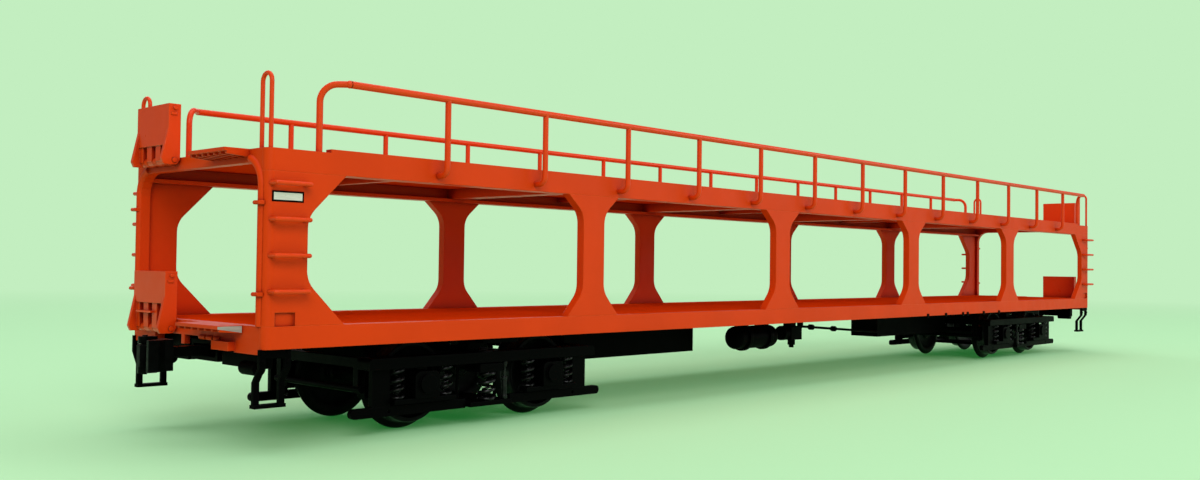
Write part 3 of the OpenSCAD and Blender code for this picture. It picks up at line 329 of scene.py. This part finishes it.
def sweep(bm, points, radius, seg):
    """Round bar with closed ends along a line of points."""
    pts = [Vector(p) for p in points]
    rings = []
    up = None
    for i, p in enumerate(pts):
        a = pts[max(i - 1, 0)]
        b = pts[min(i + 1, len(pts) - 1)]
        t = (b - a).normalized()
        if up is None:
            up = Vector((0, 0, 1)) if abs(t.z) < 0.9 else Vector((1, 0, 0))
        side = t.cross(up).normalized()
        up = side.cross(t).normalized()
        ring = []
        for k in range(seg):
            ang = 2 * math.pi * k / seg
            ring.append(bm.verts.new(p + (side * math.cos(ang) + up * math.sin(ang)) * radius))
        rings.append(ring)
    for r1, r2 in zip(rings, rings[1:]):
        for k in range(seg):
            bm.faces.new((r1[k], r1[(k + 1) % seg], r2[(k + 1) % seg], r2[k]))
    bm.faces.new(rings[0][::-1])
    bm.faces.new(rings[-1])


def lathe(bm, profile, centre, axis, seg, flip=1.0):
    """Turns a profile of (distance along the axis, radius) about the Y or Z axis through centre."""
    rings = []
    for k in range(seg):
        a = 2 * math.pi * k / seg
        ring = []
        for along, r in profile:
            c, s = r * math.cos(a), r * math.sin(a)
            along *= flip
            off = {"Y": (c, along, s), "Z": (c, s, along)}[axis]
            ring.append(bm.verts.new(Vector(centre) + Vector(off)))
        rings.append(ring)
    n = len(profile)
    for k in range(seg):
        r1, r2 = rings[k], rings[(k + 1) % seg]
        for i in range(n - 1):
            bm.faces.new((r1[i], r1[i + 1], r2[i + 1], r2[i]))
    bmesh.ops.remove_doubles(bm, verts=bm.verts, dist=WELD)


def plate(bm, corners, y1, y2):
    """Flat plate with the outline of corners (x, z), between two planes across the wagon, in mm."""
    near = [bm.verts.new(Vector((x, y1, z)) * MM) for x, z in corners]
    far = [bm.verts.new(Vector((x, y2, z)) * MM) for x, z in corners]
    bm.faces.new(near)
    bm.faces.new(far[::-1])
    n = len(corners)
    for k in range(n):
        bm.faces.new((near[k], far[k], far[(k + 1) % n], near[(k + 1) % n]))


# ---------------------------------------------------------------- springs and dampers

# Places in mm: across the wagon, along it from the bogie's centre or an axle, and levels
BOLSTER_COIL_Y = 11.7
BOLSTER_COIL_TOP = 6.9
AXLE_COIL_Y = 11.95
AXLE_COIL_DX = 3.75
AXLE_COIL_FOOT = 4.4
DAMPER_DX = 2.6
DAMPER_Y = 12.35

# An outer and an inner coil each, as (radius, radius of the wire, turns, sides of the wire)
BOLSTER_COILS = ((1.03, 0.24, 4.4, 8), (0.5, 0.15, 6.0, 6))
AXLE_COILS = ((0.78, 0.19, 4.6, 8), (0.36, 0.12, 6.0, 6))

# Damper as (height, radius) in mm: foot, tube, rod and top eye
DAMPER = (
    (0.0, 0.0), (0.0, 0.38), (0.15, 0.44), (0.5, 0.44), (0.55, 0.38), (2.55, 0.38), (2.6, 0.44),
    (3.0, 0.44), (3.05, 0.2), (4.3, 0.2), (4.35, 0.34), (4.7, 0.4), (5.1, 0.36), (5.1, 0.0),
)

STEPS_PER_TURN = 22
# Share of a turn that lies flat at each end of a coil
FLAT_TURN = 0.75


def mm_profile(profile):
    """The profile in metres."""
    return [(along * MM, r * MM) for along, r in profile]


def spring_points(x, y, z0, z1, radius, wire, turns):
    """Coil with flattened dead turns at both ends."""
    low, high = z0 + wire, z1 - wire
    steps = int(turns * STEPS_PER_TURN)
    pts = []
    for i in range(steps + 1):
        t = i / steps
        turn = t * turns
        u = min(max((turn - FLAT_TURN) / (turns - 2 * FLAT_TURN), 0), 1)
        z = low + (high - low) * u
        a = 2 * math.pi * turn
        pts.append(Vector((x + radius * math.cos(a), y + radius * math.sin(a), z)) * MM)
    return pts


def nest(bm, coils, x, y, z0, z1):
    """One coil inside another, between two levels."""
    for radius, wire, turns, sides in coils:
        sweep(bm, spring_points(x, y, z0, z1, radius, wire, turns), wire * MM, sides)


first_axle, second_axle = (JOINTS[f"wheelset_{i}_spin"]["pos_m"][0] / MM for i in (1, 2))
half_base = abs(first_axle - second_axle) / 2
for end in ("front", "rear"):
    cx = JOINTS[f"bogie_{end}_swivel"]["pos_m"][0] / MM
    toward = 1 if end == "front" else -1
    lo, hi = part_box(f"bogie_springs_{end}")
    plank_top, frame_low = lo.z / MM, hi.z / MM
    bm = bmesh.new()
    for s in (-1, 1):
        nest(bm, BOLSTER_COILS, cx, s * BOLSTER_COIL_Y, plank_top, BOLSTER_COIL_TOP)
        for axle in (-half_base, half_base):
            for dx in (-AXLE_COIL_DX, AXLE_COIL_DX):
                nest(bm, AXLE_COILS, cx + axle + dx, s * AXLE_COIL_Y, AXLE_COIL_FOOT, frame_low)
        foot = ((cx + toward * DAMPER_DX) * MM, s * DAMPER_Y * MM, plank_top * MM)
        lathe(bm, mm_profile(DAMPER), foot, "Z", 20)
    ob = piece(f"coil_springs_{end}", bm, spring_steel, f"bogie_{end}")
    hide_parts(f"bogie_springs_{end}")


# ---------------------------------------------------------------- wheelsets

# (distance from the wheel's back, radius) in mm: back face first, then flange, tread, rim, web and
# hub, and back to the start
WHEEL = (
    (0.0, 1.0), (0.0, 1.9), (0.35, 2.2), (0.45, 3.9), (0.1, 4.5), (-0.1, 4.9), (-0.1, 5.85),
    (0.02, 6.05), (0.18, 6.14), (0.36, 6.12), (0.5, 6.0), (0.68, 5.72), (0.82, 5.42), (0.98, 5.26),
    (1.2, 5.24), (2.55, 5.17), (2.72, 5.1), (2.8, 5.02), (2.8, 4.62), (2.62, 4.5), (2.2, 4.42),
    (2.02, 4.2), (1.72, 2.5), (1.8, 2.1), (2.2, 1.9), (2.68, 1.82), (2.8, 1.7), (2.8, 1.25),
    (2.72, 1.2), (2.72, 1.0), (0.0, 1.0),
)
# Distance of a wheel's back from the middle of its axle
WHEEL_BACK = 7.2

# Half an axle as (distance from its middle, radius) in mm, with its wheel seat and journal
AXLE = (
    (0.0, 1.0), (6.6, 1.0), (6.75, 1.25), (7.2, 1.3), (7.3, 1.0), (10.4, 1.0), (10.4, 0.72),
    (10.55, 0.6), (12.2, 0.6), (12.3, 0.5), (12.3, 0.0),
)

# Raised ring on the web, its outline as (distance out from the web, radius) in mm, and the rings'
# number, the circle they stand on and their distance from the middle of the axle
WEB_RING = (
    (0.0, 0.36), (0.1, 0.4), (0.1, 0.5), (0.0, 0.56), (-0.3, 0.56), (-0.3, 0.36), (0.0, 0.36),
)
WEB_RINGS = 4
RING_CIRCLE = 3.3
RING_Y = 9.04


def wheel_metal():
    """Blackened wheel: brighter tread, turned marks round the axle, dull web."""
    g = Graph("wheel_metal")
    normal, edge = g.edges(0.1)
    x, y, z = g.split(g.coords())
    r = g.length(x, z)
    ay = g.math("ABSOLUTE", y)
    # The tread lies between the flange and the rim's front edge
    on_rim = g.math("MULTIPLY", g.ramp(r, 5.1 * MM, 5.2 * MM), g.ramp(ay, 8.0 * MM, 8.15 * MM))
    tread = g.math("MULTIPLY", on_rim, g.ramp(ay, 10.0 * MM, 9.85 * MM))
    bright = (0.05, 0.05, 0.053)
    tone = g.mix(g.ramp(g.noise(1.2, 5.0), 0.3, 0.7), DULL_METAL, BLACK_WORN)
    rubbed = g.math("MULTIPLY", tread, g.ramp(g.noise(0.8, 4.0), 0.25, 0.7, 0.3, 1.0))
    tone = g.mix(rubbed, tone, bright)
    tone = g.mix(g.math("MULTIPLY", edge, 0.4), tone, bright)
    g.link(tone, g.bsdf.inputs["Base Color"])
    g.bsdf.inputs["Metallic"].default_value = 0.75
    g.bsdf.inputs["Specular IOR Level"].default_value = 0.08
    g.link(g.ramp(tread, 0.0, 1.0, 0.46, 0.28), g.bsdf.inputs["Roughness"])
    groove = 0.12 * MM
    rings = g.math("SINE", g.math("MULTIPLY", r, 2 * math.pi / groove))
    height = g.math("ADD", g.math("MULTIPLY", rings, 0.4), g.noise(0.25, 3.0))
    g.link(g.bump(height, 0.008, 0.5, normal), g.bsdf.inputs["Normal"])
    return g.mat


wheel_mat = wheel_metal()
for i in range(1, 5):
    at = JOINTS[f"wheelset_{i}_spin"]["pos_m"]
    bm = bmesh.new()
    for s in (-1, 1):
        wheel = [(WHEEL_BACK + along, r) for along, r in WHEEL]
        lathe(bm, mm_profile(wheel), at, "Y", 96, s)
        lathe(bm, mm_profile(AXLE), at, "Y", 40, s)
        for k in range(WEB_RINGS):
            a = math.pi / 4 + k * 2 * math.pi / WEB_RINGS
            centre = Vector((RING_CIRCLE * math.cos(a), s * RING_Y, RING_CIRCLE * math.sin(a)))
            lathe(bm, mm_profile(WEB_RING), Vector(at) + centre * MM, "Y", 20, s)
    ob = piece(f"wheels_{i}", bm, wheel_mat, f"wheelset_{i}", True, at)
    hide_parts(f"wheelset_{i}")


# ---------------------------------------------------------------- small plates on the body

def pale_metal(name, base, dark):
    """Pale sheet with faint brushing along its length and small scuffs."""
    g = Graph(name)
    brushed = g.ramp(g.noise(0.5, 4.0, 0.6, (0.2, 1, 3)), 0.3, 0.7)
    tone = g.mix(brushed, dark, base)
    scuff = g.ramp(g.noise(0.7, 5.0, 0.7), 0.6, 0.72, 0.0, 0.45)
    g.link(g.mix(scuff, tone, tuple(c * 0.6 for c in dark)), g.bsdf.inputs["Base Color"])
    g.link(g.ramp(brushed, 0.0, 1.0, 0.42, 0.55), g.bsdf.inputs["Roughness"])
    g.link(g.bump(g.noise(0.2, 3.0), 0.008, 0.4), g.bsdf.inputs["Normal"])
    g.bsdf.inputs["Specular IOR Level"].default_value = 0.2
    return g.mat


pale_strip_metal = pale_metal("pale_edge_strip", (0.46, 0.43, 0.40), (0.34, 0.31, 0.28))
pale_plate = pale_metal("blank_plate", (0.74, 0.72, 0.66), (0.62, 0.60, 0.54))
panel_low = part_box("corner_panels_left")[0] / MM
panel_x, side_y = panel_low.x, panel_low.y
apron_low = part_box("aprons")[0] / MM
deck_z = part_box("lower_deck")[1].z / MM
# Clearance between a plate's back and the face it lies on, and how far plates stand out, in mm
FACE_GAP = 0.002
PLATE_OUT = 0.03
RAISED_BACK = 0.025
RAISED_OUT = 0.05

# Pale strip along the near edge of the lower front apron, whose edge is 0.8 mm in from the upper's.
# Depths in mm below the deck's face: the strip's top, and its foot at the tip and at the root
APRON_STEP = 0.8
STRIP_TOP = 0.08
STRIP_TIP_FOOT = 0.38
STRIP_ROOT_FOOT = 0.83
apron_y = apron_low.y + APRON_STEP
tip_x, root_x = apron_low.x + 0.05, panel_x - 0.1
strip = [
    (tip_x, deck_z - STRIP_TIP_FOOT), (root_x, deck_z - STRIP_ROOT_FOOT),
    (root_x, deck_z - STRIP_TOP), (tip_x, deck_z - STRIP_TOP),
]
bm = bmesh.new()
plate(bm, strip, apron_y - PLATE_OUT, apron_y - FACE_GAP)
piece("apron_edge", bm, pale_strip_metal, "wagon_body", False)


def rectangle(x1, z1, x2, z2):
    return [(x1, z1), (x2, z1), (x2, z2), (x1, z2)]


# Blank plate with a dark edge on the near end panel: its place from the panel's corner and the
# deck, its length and height, and the width of its dark edge, in mm
PLATE_IN, PLATE_UP = 0.6, 13.6
PLATE_L, PLATE_H, EDGE_W = 3.9, 1.2, 0.2
plate_x, plate_z = panel_x + PLATE_IN, deck_z + PLATE_UP
bm = bmesh.new()
dark = rectangle(plate_x, plate_z, plate_x + PLATE_L, plate_z + PLATE_H)
plate(bm, dark, side_y - PLATE_OUT, side_y - FACE_GAP)
piece("plate_edge", bm, black, "wagon_body", False)
bm = bmesh.new()
pale = rectangle(
    plate_x + EDGE_W, plate_z + EDGE_W, plate_x + PLATE_L - EDGE_W, plate_z + PLATE_H - EDGE_W
)
plate(bm, pale, side_y - RAISED_OUT, side_y - RAISED_BACK)
piece("plate_face", bm, pale_plate, "wagon_body", False)


# ---------------------------------------------------------------- stage, lights and camera

def stage_object(name, me, mat):
    """Puts a mesh in the scene as part of the set and not of the wagon."""
    ob = bpy.data.objects.new(name, me)
    scene.collection.objects.link(ob)
    me.materials.append(mat)
    return ob


def disc(name, radius):
    """Flat round sheet at the level that the wagon stands on."""
    bm = bmesh.new()
    bmesh.ops.create_circle(bm, cap_ends=True, segments=96, radius=radius)
    me = bpy.data.meshes.new(name)
    bm.to_mesh(me)
    bm.free()
    return me


# Sizes of the set in metres
FLOOR_RADIUS = 6.0
BACKDROP_RADIUS = 7.0
# Colours of the backdrop and the floor, the glow that lifts the floor's shadows, and the distances
# in metres from the wagon's middle over which the floor fades into the backdrop
BACK = (0.546, 0.855, 0.527)
FLOOR = (0.495, 0.745, 0.475)
FLOOR_LIFT = (0.008, 0.12, 0.018)
FADE = (0.22, 0.75)


def floor_material():
    """Matt pale floor that fades into the backdrop's colour away from the wagon."""
    g = Graph("pale_floor")
    out = g.nt.nodes["Material Output"]
    x, y, _ = g.split(g.coords())
    fade = g.ramp(g.length(x, y), *FADE)
    g.bsdf.inputs["Base Color"].default_value = (*FLOOR, 1)
    g.bsdf.inputs["Emission Color"].default_value = (*FLOOR_LIFT, 1)
    g.bsdf.inputs["Emission Strength"].default_value = 1.0
    g.bsdf.inputs["Roughness"].default_value = 0.8
    g.bsdf.inputs["Specular IOR Level"].default_value = 0.1
    glow = g.add("ShaderNodeEmission")
    glow.inputs["Color"].default_value = (*BACK, 1)
    glow.inputs["Strength"].default_value = 1.0
    mix = g.add("ShaderNodeMixShader")
    g.link(fade, mix.inputs[0])
    g.link(g.bsdf.outputs[0], mix.inputs[1])
    g.link(glow.outputs[0], mix.inputs[2])
    g.link(mix.outputs[0], out.inputs["Surface"])
    return g.mat


stage_object("floor", disc("floor", FLOOR_RADIUS), floor_material())

world = bpy.data.worlds.new("studio")
scene.world = world
world.use_nodes = True
background = world.node_tree.nodes["Background"]
background.inputs["Color"].default_value = (1.0, 1.0, 1.0, 1)
background.inputs["Strength"].default_value = 0.25

# Backdrop shell that only the camera sees
bm = bmesh.new()
bmesh.ops.create_uvsphere(bm, u_segments=48, v_segments=24, radius=BACKDROP_RADIUS)
me = bpy.data.meshes.new("backdrop")
bm.to_mesh(me)
bm.free()
g = Graph("backdrop_glow")
glow = g.add("ShaderNodeEmission")
glow.inputs["Color"].default_value = (*BACK, 1)
g.link(glow.outputs[0], g.nt.nodes["Material Output"].inputs["Surface"])
backdrop = stage_object("backdrop", me, g.mat)
for ray in ("visible_diffuse", "visible_glossy", "visible_shadow", "visible_transmission"):
    setattr(backdrop, ray, False)


def softbox(name, at, aim, size, power):
    """White area light at one place, turned to another, in metres and watts."""
    light = bpy.data.lights.new(name, "AREA")
    light.shape = "RECTANGLE"
    light.size, light.size_y = size
    light.energy = power
    ob = bpy.data.objects.new(name, light)
    scene.collection.objects.link(ob)
    ob.location = at
    ob.rotation_mode = "QUATERNION"
    ob.rotation_quaternion = (Vector(aim) - Vector(at)).to_track_quat("-Z", "Y")


softbox("key", (-0.55, -0.75, 0.55), (0, 0, 0.02), (0.7, 0.5), 5.4)
softbox("top", (0.0, 0.0, 0.9), (0, 0, 0), (1.2, 0.9), 5.0)
softbox("fill", (0.7, -0.6, 0.35), (0.02, 0, 0.02), (0.6, 0.5), 2.2)
softbox("rim", (0.3, 0.9, 0.5), (0, 0, 0.02), (0.8, 0.4), 2.0)

# Camera, placed and turned as the photograph's; its place is in mm
CAMERA_AT = (-184.266, -123.478, 21.090)
yaw, pitch, roll = math.radians(43.216), math.radians(1.367), math.radians(0.712)
ahead = Vector((math.cos(yaw) * math.cos(pitch), math.sin(yaw) * math.cos(pitch), math.sin(pitch)))
right = Vector((math.sin(yaw), -math.cos(yaw), 0))
above = right.cross(ahead)
cam_x = right * math.cos(roll) + above * math.sin(roll)
cam_y = above * math.cos(roll) - right * math.sin(roll)
camera_data = bpy.data.cameras.new("camera")
camera_data.sensor_width = 36.0
camera_data.lens = 33.04
camera_data.clip_start = 0.01
camera_data.clip_end = 50.0
camera = bpy.data.objects.new("camera", camera_data)
scene.collection.objects.link(camera)
turn = Matrix((cam_x, cam_y, -ahead)).transposed().to_4x4()
camera.matrix_world = Matrix.Translation(Vector(CAMERA_AT) * MM) @ turn
scene.camera = camera
